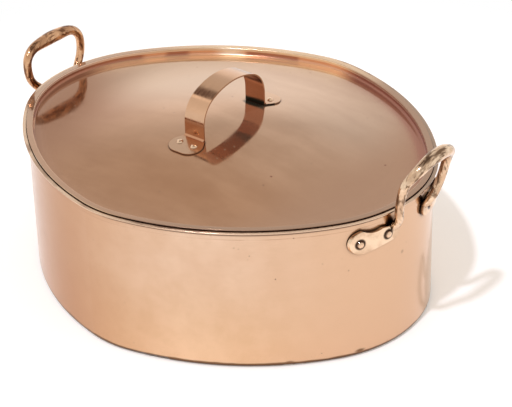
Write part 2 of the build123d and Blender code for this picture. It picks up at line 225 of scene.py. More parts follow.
# %% Make a material and put it on
def new_material(name):
    """An empty material, the recipe that fills it, and places on the object in metres."""
    material = bpy.data.materials.new(name)
    material.use_nodes = True
    recipe = Recipe(material.node_tree)
    place = recipe.add("ShaderNodeTexCoord").outputs["Object"]
    return material, recipe, place


def dress(material, *names):
    """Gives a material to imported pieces."""
    for name in names:
        for slot in nodes[name].material_slots:
            slot.link = "OBJECT"
            slot.material = material
    print(material.name, "on", ", ".join(names))


print("pieces to dress:", len(nodes))

# %% [markdown]
# ## Copper
#
# The kettle is sheet copper, hammered to shape and polished by hand. Polished copper is a mirror
# with a little blur, and what looks like its colour is the room, tinted by the metal. It could
# be made as orange paint with a gloss on it, but paint mirrors in white and would look like
# plastic, so the surface here is all metal. Metal of one even colour looks false too. Real
# copper has patches where the air has warmed it, hairlines from the polishing cloth, and a few
# pits where dark polish has dried. Crevices are darkened too, partly for dried polish and partly
# as painted shade. The darkening comes from Blender's ambient occlusion node, which tells how
# much of the sky a place can see, so it gathers wherever two pieces meet and nobody has to place it there.

# %% Patches, pits and crevices
# Dark tarnish for pits, scuffs and rivet feet, also used as painted shade in crevices and under the lip.
tarnish_and_shade = (0.075, 0.036, 0.022, 1.0)


def warm_patches(recipe, place):
    """Broad and fine patches of warmer metal, up to 0.6 and up to 0.4."""
    broad_noise = recipe.noise(place, scale=7.0, detail=4.0)
    fine_noise = recipe.noise(place, scale=34.0, detail=5.0, roughness=0.6)
    broad = recipe.ramp(broad_noise, 0.35, 0.65, to_high=0.6)
    fine = recipe.ramp(fine_noise, 0.3, 0.7, to_high=0.4)
    return broad, fine


def pits(recipe, place):
    """1 in the middle of a few small scattered pits, and 0 elsewhere."""
    cells = recipe.add("ShaderNodeTexVoronoi", {"Vector": place, "Scale": 70.0, "Randomness": 1.0})
    in_cell = recipe.fall(cells.outputs["Distance"], 0.03, 0.10)
    few = recipe.ramp(recipe.noise(place, scale=14.0), 0.50, 0.66)
    return recipe.times(in_cell, few)


def crevice(recipe, reach):
    """1 deep in a crevice and 0 on open metal; reach is how far the walls of a crevice count."""
    open_sky = recipe.add("ShaderNodeAmbientOcclusion", {"Distance": reach}, samples=8)
    return recipe.fall(open_sky.outputs["AO"], 0.5, 0.95)


print("tarnish:", tarnish_and_shade[:3])

# %% [markdown]
# ## One recipe for four coppers
#
# The wall, the lid, the strap and the rivets are the same metal, worked and worn differently.
# They could be four separate materials, but then each mend would be made four times. One
# function makes them all, and what differs is handed to it: a colour function, the range of
# roughness, the depth of the hammered waves, how far the dried polish and painted shade of the
# crevices reach, and how close the hairlines lie along each axis. The relief is only a hundredth
# to a fifth of a millimetre deep, which is enough, because a mirror shows the smallest dent.

# %% Copper
hairline_depth = 0.00001
pit_depth = 0.0002
worn_roughness = 0.22


def copper_relief(recipe, place, wave, hairlines, pit):
    """Slight hammered waves, with hairlines and pits on them."""
    relief = recipe.bump(recipe.noise(place, scale=6.0, detail=1.0), wave)
    relief = recipe.bump(hairlines, hairline_depth, relief)
    return recipe.bump(recipe.outside(pit), pit_depth, relief)


def copper(name, tone, blur, wave, dirt_and_shade_reach, polish, bare=None, worn=None, level=None):
    """Copper in one finish; tone gives its colour at a place, and blur its range of roughness.

    wave is the depth of its hammered waves, dirt_and_shade_reach how far dried polish and painted
    shade reach out of a crevice, and polish how close the hairlines lie along each axis. bare says
    how bare the metal is of a dull veil, worn where hands have blurred the shine, and level how its
    reflections are calmed."""
    material, recipe, place = new_material(name)
    broad, fine = warm_patches(recipe, place)
    hairlines = recipe.noise(recipe.stretch(place, *polish))
    pit = pits(recipe, place)
    colour = tone(recipe, place, recipe.plus(broad, fine))
    colour = recipe.mix(recipe.times(pit, 0.7), colour, tarnish_and_shade)
    # Crevices darken to this colour for dried polish and as painted shade.
    colour = recipe.mix(recipe.times(crevice(recipe, dirt_and_shade_reach), 0.9), colour, tarnish_and_shade)
    lines = recipe.ramp(hairlines, 0.3, 0.7, to_high=0.6)
    roughness = recipe.ramp(recipe.plus(fine, lines), 0.0, 1.0, *blur)
    if worn:
        roughness = recipe.larger(roughness, recipe.times(worn(recipe, place), worn_roughness))
    relief = copper_relief(recipe, place, wave, hairlines, pit)
    if level:
        relief = level(recipe, place, relief)
    recipe.metal(colour, roughness, relief, bare(recipe, place) if bare else 1.0)
    return material


print("worn copper is", worn_roughness, "rough")

# %% [markdown]
# ## Metal of the wall
#
# The wall is one band of sheet. It is pink near the rim and more orange towards the base, and
# the metal turns browner towards the left end. Those fades could be painted on the wall, vertex
# by vertex, but the wall's mesh has few points between its top and bottom edges, so a painted
# fade would follow the mesh. A mask made from the height, or from the place along the kettle,
# is smooth whatever the mesh is. A little noise is added to the place, so that no fade ends in
# a straight line.

# %% Clean and warmed metal of the wall
pink_copper = (0.73, 0.53, 0.385, 1.0)
pink_patch = (0.65, 0.44, 0.30, 1.0)
orange_copper = (0.76, 0.53, 0.35, 1.0)
orange_patch = (0.67, 0.44, 0.27, 1.0)
right_end_copper = (0.66, 0.435, 0.285, 1.0)
warmed_copper = (0.455, 0.235, 0.118, 1.0)
left_end_copper = (0.38, 0.185, 0.07, 1.0)


def wall_metal(recipe, place, patches):
    """Pink copper, orange near the base, and warmed to brown towards the left end."""
    height = recipe.along(place, "Z")
    across = recipe.along(place, "X")
    pink = recipe.mix(patches, pink_copper, pink_patch)
    orange = recipe.mix(patches, orange_copper, orange_patch)
    colour = recipe.mix(recipe.ramp(height, 0.02, 0.17), orange, pink)
    colour = recipe.mix(recipe.ramp(across, 0.16, 0.30), colour, right_end_copper)
    uneven = recipe.times(recipe.noise(place, scale=8.0), 0.08)
    warmed = recipe.fall(recipe.plus(across, uneven), -0.10, 0.18)
    colour = recipe.mix(warmed, colour, warmed_copper)
    return recipe.mix(recipe.fall(across, -0.30, -0.22), colour, left_end_copper)


print("the wall fades from", orange_copper[:3], "up to", pink_copper[:3])

# %% [markdown]
# ## Turned lip
#
# The top of the wall is turned outward and rolled to a narrow round lip. The lid and the cloth
# have rubbed it paler than the wall, and they left fine dark lines that run round it. Such lines
# could be cut into the mesh, at the cost of thousands of thin faces. Noise that is stretched
# very short in height and left long around the kettle gives the same lines in the colour alone.

# %% Lip
lip_copper = (0.76, 0.55, 0.39, 1.0)
lip_shaded = (0.40, 0.28, 0.20, 1.0)
lip_line = (0.24, 0.13, 0.08, 1.0)


def lines_round(recipe, place):
    """Fine streaks that run level round the kettle."""
    return recipe.noise(recipe.stretch(place, 9.0, 9.0, 1600.0), detail=3.0, roughness=0.7)


def lip_tone(recipe, place):
    """The rounded lip, with painted shade at the back right, and fine dark lines along it."""
    right = recipe.ramp(recipe.along(place, "X"), 0.02, 0.12)
    behind = recipe.ramp(recipe.along(place, "Y"), -0.02, 0.05)
    # Painted shade at the back right of the lip.
    metal = recipe.mix(recipe.times(right, behind), lip_copper, lip_shaded)
    lines = recipe.ramp(lines_round(recipe, place), 0.46, 0.64, to_high=0.8)
    return recipe.mix(lines, metal, lip_line)


# %% [markdown]
# ## Wear and painted shade of the wall
#
# Four marks are laid on the wall: a broken brown line below the lip, one scuff below the
# right loop, painted shade in the corner under the lip, and a ragged edge of painted shade along
# the base, with two dark nicks in it. Each could be an image laid over the wall. Here each is a
# band of heights or a soft round spot, so it can be moved with one number, and it stays sharp
# close up.

# %% Bands and spots
def band(recipe, value, low, high, soft):
    """1 between low and high and 0 outside, with edges as soft as given."""
    rising = recipe.ramp(value, low - soft, low + soft)
    return recipe.times(rising, recipe.fall(value, high - soft, high + soft))


def spot(recipe, place, middle, inner, outer, shape=(1.0, 1.0, 1.0)):
    """1 within inner of a middle and 0 beyond outer; shape squeezes the spot along an axis."""
    centre = [number * factor for number, factor in zip(middle, shape)]
    return recipe.fall(recipe.away(recipe.stretch(place, *shape), centre), inner, outer)


print("helpers for marks:", band.__name__, "and", spot.__name__)

# %% Marks on the wall
crease_brown = (0.30, 0.12, 0.055, 1.0)
crease_low = 0.1962
crease_high = 0.1968
scuff_middle = (0.304, -0.015, 0.135)
under_lip_low = 0.2023
under_lip_high = 0.2065
edge_shade_brown = (0.17, 0.085, 0.04, 1.0)
edge_nicks = ((0.226, -0.157, 0.006), (0.285, -0.082, 0.008))


def crease_and_scuff(recipe, place, colour):
    """A broken brown line below the lip, and a scuff at the right."""
    broken = recipe.ramp(recipe.noise(place, scale=22.0, detail=4.0), 0.42, 0.58, 0.15, 0.65)
    crease = band(recipe, recipe.along(place, "Z"), crease_low, crease_high, soft=0.0006)
    colour = recipe.mix(recipe.times(crease, broken), colour, crease_brown)
    scuff = spot(recipe, place, scuff_middle, inner=0.001, outer=0.004)
    return recipe.mix(recipe.times(scuff, 0.3), colour, tarnish_and_shade)


def shade_under_lip(recipe, place, colour):
    """Painted shade in the corner under the lip."""
    under = band(recipe, recipe.along(place, "Z"), under_lip_low, under_lip_high, soft=0.0006)
    # The band under the lip is painted shade.
    return recipe.mix(recipe.times(under, 0.75), colour, tarnish_and_shade)


def shaded_base_edge(recipe, place, colour):
    """A ragged edge of painted shade along the base, with two nicks."""
    uneven = recipe.times(recipe.noise(place, scale=26.0), -0.005)
    # Painted contact shade along the base of the wall.
    edge = recipe.fall(recipe.plus(recipe.along(place, "Z"), uneven), 0.0031, 0.0051)
    for middle in edge_nicks:
        nick = spot(recipe, place, middle, inner=0.001, outer=0.004, shape=(0.4, 0.4, 1.0))
        edge = recipe.larger(edge, nick)
    return recipe.mix(recipe.times(edge, 0.9), colour, edge_shade_brown)


print("nicks in the edge:", len(edge_nicks))


# %% Copper of the pan
def pan_tone(recipe, place, patches):
    """The wall with its marks, and the lip above it."""
    colour = wall_metal(recipe, place, patches)
    colour = crease_and_scuff(recipe, place, colour)
    on_lip = recipe.ramp(recipe.along(place, "Z"), 0.2055, 0.2070)
    colour = recipe.mix(on_lip, colour, lip_tone(recipe, place))
    colour = shade_under_lip(recipe, place, colour)
    return shaded_base_edge(recipe, place, colour)


def rim_wear(recipe, place):
    """The turned rim, where the lid has rubbed and cloths have wiped."""
    return recipe.ramp(recipe.along(place, "Z"), 0.2040, 0.2055)


pan_copper = copper(
    "pan_copper",
    pan_tone,
    blur=(0.10, 0.20),
    wave=0.0002,
    dirt_and_shade_reach=0.009,
    polish=(40.0, 40.0, 900.0),
    worn=rim_wear,
)
dress(pan_copper, "pan_wall", "pan_base")

# %% [markdown]
# ## Parts of the lid
#
# The lid is one sheet with three parts: a flange that lies on the lip, a steep upstand just
# inside the wall, and a broad crowned panel. They could be three meshes with a material each,
# but on the real lid the metal runs on without a seam. So the lid keeps one material, and masks
# tell its parts from one another: how steep the surface is, and how far out it lies.

# %% Tell the parts of the lid apart
def surface_direction(recipe):
    """The direction that the surface faces, before any relief."""
    return recipe.add("ShaderNodeNewGeometry").outputs["Normal"]


def steepness(recipe, place):
    """1 on the upstand and the folds of the lid, and 0 on its level parts."""
    return recipe.fall(recipe.along(surface_direction(recipe), "Z"), 0.65, 0.96)


def out_from_middle(recipe, place):
    """Distance from the middle of the kettle, as seen from above."""
    level = recipe.stretch(place, 1.0, 1.0, 0.0)
    return recipe.add("ShaderNodeVectorMath", {0: level}, operation="LENGTH").outputs["Value"]


def beside_upstand(recipe, place):
    """1 on the narrow margin of the panel at the foot of the upstand, and 0 further in."""
    open_sky = recipe.add("ShaderNodeAmbientOcclusion", {"Distance": 0.05}, samples=16)
    near = recipe.fall(open_sky.outputs["AO"], 0.86, 0.96)
    return recipe.times(near, recipe.ramp(out_from_middle(recipe, place), 0.19, 0.21))


print("the lid measures", size_of("lid_sheet"), "mm")

# %% [markdown]
# ## Panel of the lid
#
# The panel was polished less often than the wall and is a duller brown, full of worn strokes.
# Painted shade darkens it to the front and at both ends, and painted light makes it paler at the
# back and at the back left. Its margin mirrors the upstand, which shows as a golden glow at the
# back left. That glow could be left to the reflections alone, but the margin of the model is too
# even to throw it, so a band of colour helps as a painted reflection. A black patch at the
# strap's far foot and two rust red specks are single soft spots.

# %% Worn metal of the panel
panel_copper = (0.565, 0.355, 0.23, 1.0)
panel_mark = (0.455, 0.27, 0.165, 1.0)
shaded_front_copper = (0.475, 0.26, 0.145, 1.0)
shaded_front_mark = (0.39, 0.20, 0.105, 1.0)
lit_back_copper = (0.575, 0.395, 0.275, 1.0)
lit_back_mark = (0.51, 0.34, 0.235, 1.0)
panel_shaded_left = (0.34, 0.17, 0.095, 1.0)
panel_shaded_right = (0.45, 0.26, 0.16, 1.0)
panel_painted_light = (0.55, 0.385, 0.27, 1.0)


def worn_and_shaded_panel(recipe, place, patches):
    """Dull copper with worn strokes, painted shade to the front and at both ends, and painted light at the
    back.
    """
    across = recipe.along(place, "X")
    deep = recipe.along(place, "Y")
    streaks = recipe.noise(recipe.stretch(place, 7.0, 26.0, 1.0), detail=4.0)
    strokes = recipe.ramp(streaks, 0.35, 0.65, to_high=0.5)
    marks = recipe.plus(recipe.times(patches, 0.5), strokes)
    plain = recipe.mix(marks, panel_copper, panel_mark)
    front = recipe.mix(marks, shaded_front_copper, shaded_front_mark)
    back = recipe.mix(marks, lit_back_copper, lit_back_mark)
    # Painted shade to the front, painted light at the back and at the back left, painted shade at both
    # ends.
    colour = recipe.mix(recipe.fall(deep, -0.16, 0.02), plain, front)
    colour = recipe.mix(recipe.ramp(deep, 0.0, 0.12), colour, back)
    colour = recipe.mix(recipe.fall(across, -0.23, -0.08), colour, panel_shaded_left)
    colour = recipe.mix(recipe.ramp(across, 0.13, 0.24), colour, panel_shaded_right)
    pale = spot(recipe, place, (-0.16, 0.10, 0.205), inner=0.03, outer=0.16)
    return recipe.mix(pale, colour, panel_painted_light)


print("the panel is", panel_copper[:3], "with strokes of", panel_mark[:3])

# %% Margin, stain and specks of the panel
margin_gold = (0.95, 0.64, 0.36, 1.0)
margin_dark = (0.34, 0.13, 0.08, 1.0)
far_foot_black = (0.07, 0.065, 0.05, 1.0)
far_foot_middle = (0.0, 0.0605, 0.2275)
speck_red = (0.20, 0.05, 0.03, 1.0)
speck_middles = ((0.132, -0.069, 0.215), (0.222, 0.063, 0.201))


def back_margin(recipe, place, colour):
    """The upstand mirrored at the back of the panel, golden at the left and dark at the right."""
    glow = recipe.mix(recipe.ramp(recipe.along(place, "X"), 0.0, 0.05), margin_gold, margin_dark)
    at_back = recipe.ramp(recipe.along(place, "Y"), 0.02, 0.08)
    margin = recipe.times(beside_upstand(recipe, place), at_back)
    return recipe.mix(recipe.times(margin, 0.9), colour, glow)


def panel_tone(recipe, place, patches):
    """The shaded panel with its mirrored margin, a black patch at the strap's far foot and two specks."""
    colour = back_margin(recipe, place, worn_and_shaded_panel(recipe, place, patches))
    # A black patch at the strap's far foot.
    black_patch = spot(recipe, place, far_foot_middle, inner=0.013, outer=0.020, shape=(1.0, 2.3, 1.0))
    colour = recipe.mix(recipe.times(black_patch, 0.8), colour, far_foot_black)
    for middle in speck_middles:
        speck = spot(recipe, place, middle, inner=0.0008, outer=0.0018)
        colour = recipe.mix(speck, colour, speck_red)
    return colour


print("specks on the panel:", len(speck_middles))

# %% [markdown]
# ## Upstand of the lid
#
# The upstand is the steep band that drops from the flange to the panel. It is pale at the top,
# and orange below a thin painted highlight where the sheet bends. Its right half is dark with
# painted shade. Old polish has dried on three stretches of the left half, and a painted glint
# lies on one stretch between them. Each of these could be a mesh of its own, but they are only
# colour, so bands along the kettle and bands of height mark them out.

# %% Lower and upper metal of the upstand
dark_stretches = ((-0.320, -0.252), (-0.230, -0.205), (-0.135, -0.060))
stretch_brown = (0.40, 0.16, 0.09, 1.0)
lower_orange = (0.80, 0.43, 0.235, 1.0)
lower_brown = (0.56, 0.25, 0.135, 1.0)
lower_shaded_right = (0.33, 0.125, 0.08, 1.0)
upper_pale = (0.92, 0.68, 0.44, 1.0)
upper_line = (0.62, 0.38, 0.22, 1.0)
upper_shaded_right = (0.42, 0.25, 0.165, 1.0)
upper_left = (0.80, 0.56, 0.42, 1.0)


def lower_upstand(recipe, across, lines):
    """Orange-brown copper with dark stretches, and painted shade all along the right half."""
    colour = recipe.mix(lines, lower_orange, lower_brown)
    for start, end in dark_stretches:
        colour = recipe.mix(band(recipe, across, start, end, soft=0.004), colour, stretch_brown)
    # Painted shade all along the right half.
    return recipe.mix(recipe.ramp(across, 0.0, 0.045), colour, lower_shaded_right)


def upper_upstand(recipe, across, lines):
    """Pale copper with thin brown lines, painted shade at the right and pinker at the left end."""
    colour = recipe.mix(recipe.ramp(lines, 0.42, 0.60), upper_pale, upper_line)
    # Painted shade at the right.
    colour = recipe.mix(recipe.ramp(across, 0.0, 0.06), colour, upper_shaded_right)
    return recipe.mix(recipe.fall(across, -0.30, -0.20), colour, upper_left)


print("dark stretches:", len(dark_stretches))

# %% Bright line and glint of the upstand
bend_highlight = (1.0, 0.84, 0.64, 1.0)
painted_glint_colour = (1.0, 0.88, 0.70, 1.0)
glint_start = -0.168
glint_end = -0.140


def upstand_tone(recipe, place):
    """Pale at the top, orange-brown below a painted highlight line, with one painted glint."""
    across = recipe.along(place, "X")
    height = recipe.along(place, "Z")
    lines = lines_round(recipe, place)
    lower = lower_upstand(recipe, across, lines)
    upper = upper_upstand(recipe, across, lines)
    colour = recipe.mix(recipe.ramp(height, 0.2072, 0.2080), lower, upper)
    # A painted highlight along the bend of the sheet.
    line = band(recipe, height, 0.2074, 0.2078, soft=0.0005)
    colour = recipe.mix(recipe.times(line, 0.7), colour, bend_highlight)
    # A painted glint across one stretch of the left half.
    glint = band(recipe, across, glint_start, glint_end, soft=0.012)
    return recipe.mix(recipe.times(glint, 0.7), colour, painted_glint_colour)


print("the glint is", round(glint_end - glint_start, 3), "m long")

# %% [markdown]
# ## Flange of the lid
#
# The flange is the flat rim of the lid that lies on the lip of the pan. Fingers and cloths rub
# it more than the panel. It is browner at the front, paler with painted light at the back, where
# it catches the light, and darker with painted shade towards both ends. It is the only level
# part of the lid that is both high and far out. The crown of the panel is as high, so a mask of
# height alone would catch the crown too.

# %% Flange
flange_front = (0.54, 0.335, 0.22, 1.0)
flange_painted_light = (0.84, 0.61, 0.40, 1.0)
flange_shaded_right = (0.43, 0.275, 0.185, 1.0)
flange_shaded_left = (0.53, 0.365, 0.26, 1.0)
flange_patch = (0.40, 0.24, 0.15, 1.0)


def flange_tone(recipe, place, patches):
    """Rubbed copper, with painted light at the back and painted shade towards both ends."""
    across = recipe.along(place, "X")
    at_back = recipe.ramp(recipe.along(place, "Y"), 0.05, 0.18)
    # Painted light at the back, painted shade towards both ends.
    colour = recipe.mix(at_back, flange_front, flange_painted_light)
    colour = recipe.mix(recipe.ramp(across, 0.02, 0.12), colour, flange_shaded_right)
    colour = recipe.mix(recipe.fall(across, -0.30, -0.16), colour, flange_shaded_left)
    return recipe.mix(recipe.times(patches, 0.4), colour, flange_patch)


def on_flange(recipe, place):
    """1 on the level rim of the lid, which is high, far out and not steep."""
    high = recipe.ramp(recipe.along(place, "Z"), 0.2092, 0.2104)
    far_out = recipe.ramp(out_from_middle(recipe, place), 0.20, 0.21)
    return recipe.times(recipe.times(high, far_out), recipe.outside(steepness(recipe, place)))


# %% [markdown]
# ## Calm reflections
#
# The crown of the model is one even dome, and a dome mirrors the whole room squeezed into a
# small bright picture. The real panel was planished flatter in places, so its reflections are
# broader and calmer. The shape could be changed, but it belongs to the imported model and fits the
# outline well. Instead, part of the lean of the surface is taken out of the direction that the
# shader uses, more and more towards the edge. This is done the way that a bump map is: the
# surface stays where it is, and only its shading changes.

# %% Level the reflections of the panel
level_from = 0.06
level_to = 0.18
most_levelled = 0.55


def levelled(recipe, place, relief):
    """Takes about half of the lean out of the panel's shading towards its edge."""
    outer = recipe.ramp(out_from_middle(recipe, place), level_from, level_to, to_high=most_levelled)
    share = recipe.times(outer, recipe.outside(steepness(recipe, place)))
    lean = recipe.stretch(surface_direction(recipe), 1.0, 1.0, 0.0)
    lean = recipe.add("ShaderNodeVectorMath", {0: lean, "Scale": share}, operation="SCALE").outputs[0]
    calm = recipe.add("ShaderNodeVectorMath", {0: relief, 1: lean}, operation="SUBTRACT").outputs[0]
    return recipe.add("ShaderNodeVectorMath", {0: calm}, operation="NORMALIZE").outputs[0]


print("levelled by up to", most_levelled, "at", level_to, "m from the middle")


# %% Copper of the lid
def lid_tone(recipe, place, patches):
    """The panel, the upstand round it and the flange outside."""
    panel = panel_tone(recipe, place, patches)
    colour = recipe.mix(steepness(recipe, place), panel, upstand_tone(recipe, place))
    return recipe.mix(on_flange(recipe, place), colour, flange_tone(recipe, place, patches))


def lid_bareness(recipe, place):
    """Almost bare metal under a thin veil, which is thicker where the panel meets the upstand."""
    return recipe.ramp(beside_upstand(recipe, place), 0.0, 1.0, 0.88, 0.60)


lid_copper = copper(
    "lid_copper",
    lid_tone,
    blur=(0.05, 0.12),
    wave=0.0001,
    dirt_and_shade_reach=0.004,
    polish=(60.0, 60.0, 60.0),
    bare=lid_bareness,
    worn=steepness,
    level=levelled,
)
dress(lid_copper, "lid_sheet")

# %% [markdown]
# ## Strap of the lid
#
# The strap is a strip of copper bent to an arch, with a round plate at each foot. Hands polish
# its outer face at every use, and that face is bright, with painted shade over the top. The
# inner face is red-brown with painted shade, and black near the plates. The two faces could be
# split in the mesh and given a material each. Here the shader tells them apart: from a middle
# inside the arch, the outer face looks away and the inner face looks back. Its hairlines run
# along the strip.

# %% Outer and inner face of the strap
strap_bright = (0.72, 0.455, 0.29, 1.0)
strap_patch = (0.60, 0.35, 0.21, 1.0)
strap_shaded_top = (0.56, 0.335, 0.205, 1.0)
strap_legs = (0.52, 0.26, 0.145, 1.0)
strap_plates = (0.56, 0.36, 0.235, 1.0)
inner_shade_brown = (0.46, 0.21, 0.125, 1.0)
inner_black = (0.04, 0.045, 0.035, 1.0)
arch_middle = (0.0, 0.0, 0.235)


def outer_face(recipe, height, patches):
    """Bright copper, with painted shade over the top, and duller on the lower legs and on the plates."""
    colour = recipe.mix(patches, strap_bright, strap_patch)
    # Painted shade over the top of the arch.
    colour = recipe.mix(recipe.ramp(height, 0.262, 0.280), colour, strap_shaded_top)
    colour = recipe.mix(recipe.fall(height, 0.247, 0.258), colour, strap_legs)
    return recipe.mix(recipe.fall(height, 0.2280, 0.2292), colour, strap_plates)


def faces_inward(recipe, place):
    """1 on the faces that look towards the middle of the arch, and 0 on the others."""
    outward = recipe.add("ShaderNodeVectorMath", {0: place, 1: arch_middle}, operation="SUBTRACT")
    sockets = {0: surface_direction(recipe), 1: outward.outputs[0]}
    side = recipe.add("ShaderNodeVectorMath", sockets, operation="DOT_PRODUCT")
    return recipe.fall(side.outputs["Value"], -0.004, 0.0)


print("the strap measures", size_of("lid_handle"), "mm")


# %% Copper of the strap
def strap_tone(recipe, place, patches):
    """Bright copper outside, red-brown painted shade on the inner face, and black low down inside."""
    height = recipe.along(place, "Z")
    low = recipe.fall(height, 0.231, 0.236)
    # The inner face is painted shade, black low down.
    inner = recipe.mix(low, inner_shade_brown, inner_black)
    return recipe.mix(faces_inward(recipe, place), outer_face(recipe, height, patches), inner)


strap_copper = copper(
    "strap_copper",
    strap_tone,
    blur=(0.08, 0.26),
    wave=0.0001,
    dirt_and_shade_reach=0.002,
    polish=(900.0, 40.0, 40.0),
)
dress(strap_copper, "lid_handle")

# %% [markdown]
# ## Rivets
#
# Twelve copper rivets hold the handles, eight through the feet of the loops and four through
# the plates of the strap. Their domes are rubbed bright, and dark polish has dried round the
# foot of each. The ambient occlusion node finds some of that dirt, but not as an even ring. So
# the middles of the loop rivets are worked out from the radius of the pan's ends, and the
# distance to the nearest one gives a true ring, on the rivet and on the bronze around it.

# %% Middles of the loop rivets
end_radius = 0.181
end_centre = 0.305 - end_radius
foot_face = end_radius + 0.0055
rivet_places = ((0.0880, 0.1755), (0.0465, 0.1775))


def rivet_middles():
    """The middle of every rivet of the loops, on the face of its foot."""
    middles = []
    for end in (-1, 1):
        for side in (-1, 1):
            for arc, height in rivet_places:
                angle = side * arc / end_radius
                across = end * (end_centre + foot_face * cos(angle))
                middles.append((across, foot_face * sin(angle), height))
    return middles


def from_rivets(recipe, place):
    """Distance to the middle of the nearest rivet of a loop."""
    nearest = 1.0
    for middle in rivet_middles():
        nearest = recipe.math("MINIMUM", nearest, recipe.away(place, middle))
    return nearest


print("rivets of the loops:", len(rivet_middles()))

# %% Copper of the rivets
dome_copper = (0.82, 0.58, 0.40, 1.0)
dome_patch = (0.74, 0.48, 0.31, 1.0)


def rivet_tone(recipe, place, patches):
    """Bright copper on the dome, dark at its foot."""
    bright = recipe.mix(patches, dome_copper, dome_patch)
    foot = recipe.ramp(from_rivets(recipe, place), 0.0042, 0.0052)
    on_loop = recipe.fall(recipe.along(place, "Z"), 0.19, 0.20)
    return recipe.mix(recipe.times(foot, on_loop), bright, tarnish_and_shade)


rivet_copper = copper(
    "rivet_copper",
    rivet_tone,
    blur=(0.08, 0.16),
    wave=0.0001,
    dirt_and_shade_reach=0.004,
    polish=(200.0, 200.0, 200.0),
)
copper_rivets = [name for name in nodes if "rivets" in name and not name.startswith("drainer")]
dress(rivet_copper, *copper_rivets)

# %% [markdown]
# ## Cast bronze
#
# The loops were cast in sand and filed by hand, so their skin is less even than the sheet: a
# yellower metal with brown streaks along the bar, small hollows left by the sand, and black
# rings where polish has dried around the rivets. The streaks stand partly for old polish and
# partly for painted dark reflections, and the crevices are darkened with dried polish and
# painted shade. Streaks along a straight bar are only stretched noise, but this bar bends round
# in a loop, and stretched noise would cut across it. So each place is first told anew, as a
# distance from the middle of the loop and an angle round it. Noise of that place, fine across
# the bar and long in the angle, follows the bend.

# %% Places told round the bar
def round_the_bar(recipe, place, middle_height):
    """A place on a loop, told so that a noise of it makes streaks along the bar."""
    across = recipe.along(place, "Y")
    up = recipe.math("SUBTRACT", recipe.along(place, "Z"), middle_height)
    squares = recipe.plus(recipe.times(across, across), recipe.times(up, up))
    sockets = {
        "X": recipe.times(recipe.along(place, "X"), 170.0),
        "Y": recipe.times(recipe.math("SQRT", squares), 170.0),
        "Z": recipe.times(recipe.math("ARCTAN2", across, up), 2.2),
    }
    return recipe.add("ShaderNodeCombineXYZ", sockets).outputs[0]


print("the left loop measures", size_of("handle_left"), "mm")
print("the right loop measures", size_of("handle_right"), "mm")

# %% Bronze
dried_polish_and_shade = (0.05, 0.03, 0.018, 1.0)
nick_middle = (-0.322, 0.012, 0.262)
file_mark_depth = 0.0006
sand_depth = 0.0012


def bronze_tone(recipe, place, streaks, light, mid, brown):
    """Bronze in two depths, with streaks of old polish and painted reflection, one nick, and dried polish
    and painted shade at the rivets.
    """
    patches = recipe.noise(place, scale=32.0, detail=4.0, roughness=0.6)
    colour = recipe.mix(recipe.ramp(patches, 0.35, 0.65), light, mid)
    colour = recipe.mix(streaks, colour, brown)
    colour = recipe.mix(spot(recipe, place, nick_middle, inner=0.001, outer=0.004), colour, brown)
    ring = recipe.fall(from_rivets(recipe, place), 0.0064, 0.0092)
    # Dried polish rings the rivets, and crevices get dried polish and painted shade.
    dark_polish_and_shade = recipe.larger(ring, recipe.times(crevice(recipe, 0.007), 0.9))
    return recipe.mix(dark_polish_and_shade, colour, dried_polish_and_shade)


def bronze(name, middle_height, light, mid, brown):
    """Cast and filed bronze; middle_height is the middle of the loop, and the rest are its colours."""
    material, recipe, place = new_material(name)
    streaks = recipe.noise(round_the_bar(recipe, place, middle_height), detail=3.0, roughness=0.6)
    on_bar = recipe.ramp(recipe.along(place, "Z"), 0.186, 0.204)
    # The dark streaks stand partly for old polish and partly for painted dark reflection.
    dark = recipe.times(recipe.ramp(streaks, 0.48, 0.62, to_high=0.9), on_bar)
    colour = bronze_tone(recipe, place, dark, light, mid, brown)
    roughness = recipe.ramp(recipe.noise(place, scale=120.0, detail=3.0), 0.3, 0.7, 0.07, 0.20)
    relief = recipe.bump(recipe.times(streaks, on_bar), file_mark_depth)
    relief = recipe.bump(recipe.noise(place, scale=70.0, detail=3.0), sand_depth, relief)
    recipe.metal(colour, roughness, relief)
    return material


print("file marks are", file_mark_depth * 1000, "mm deep")

# %% Bronze of the left loop
left_bronze = bronze(
    "left_bronze",
    middle_height=0.215,
    light=(0.74, 0.43, 0.24, 1.0),
    mid=(0.50, 0.265, 0.14, 1.0),
    brown=(0.15, 0.06, 0.028, 1.0),
)
dress(left_bronze, "handle_left")

# %% Bronze of the right loop
right_bronze = bronze(
    "right_bronze",
    middle_height=0.235,
    light=(0.86, 0.64, 0.45, 1.0),
    mid=(0.58, 0.38, 0.24, 1.0),
    brown=(0.15, 0.08, 0.04, 1.0),
)
dress(right_bronze, "handle_right")

# %% [markdown]
# ## Tin
#
# Copper is tinned wherever it touches food, because bare copper taints it. The tin is melted
# onto the hot metal and wiped with a pad, which leaves a soft grey with cloudy marks. It could
# be one grey metal, but then it would look like new steel. Noise that is longer one way than
# the other gives the marks of the wipe. At the rim the lid has rubbed the tin through to brown
# copper.

# %% Wiped tin
rubbed_through = (0.30, 0.15, 0.085, 1.0)


def tin(name, light, dark):
    """Wiped tin, rubbed through to brown copper where the lid meets the rim."""
    material, recipe, place = new_material(name)
    wipes = recipe.noise(recipe.stretch(place, 18.0, 6.0, 18.0), detail=4.0)
    high = recipe.ramp(recipe.along(place, "Z"), 0.2062, 0.2078)
    at_rim = recipe.times(high, recipe.ramp(out_from_middle(recipe, place), 0.20, 0.21))
    colour = recipe.mix(at_rim, recipe.mix(wipes, light, dark), rubbed_through)
    roughness = recipe.ramp(wipes, 0.3, 0.7, 0.28, 0.45)
    recipe.metal(colour, roughness, recipe.bump(recipe.noise(place, scale=40.0, detail=3.0), 0.0003))
    return material


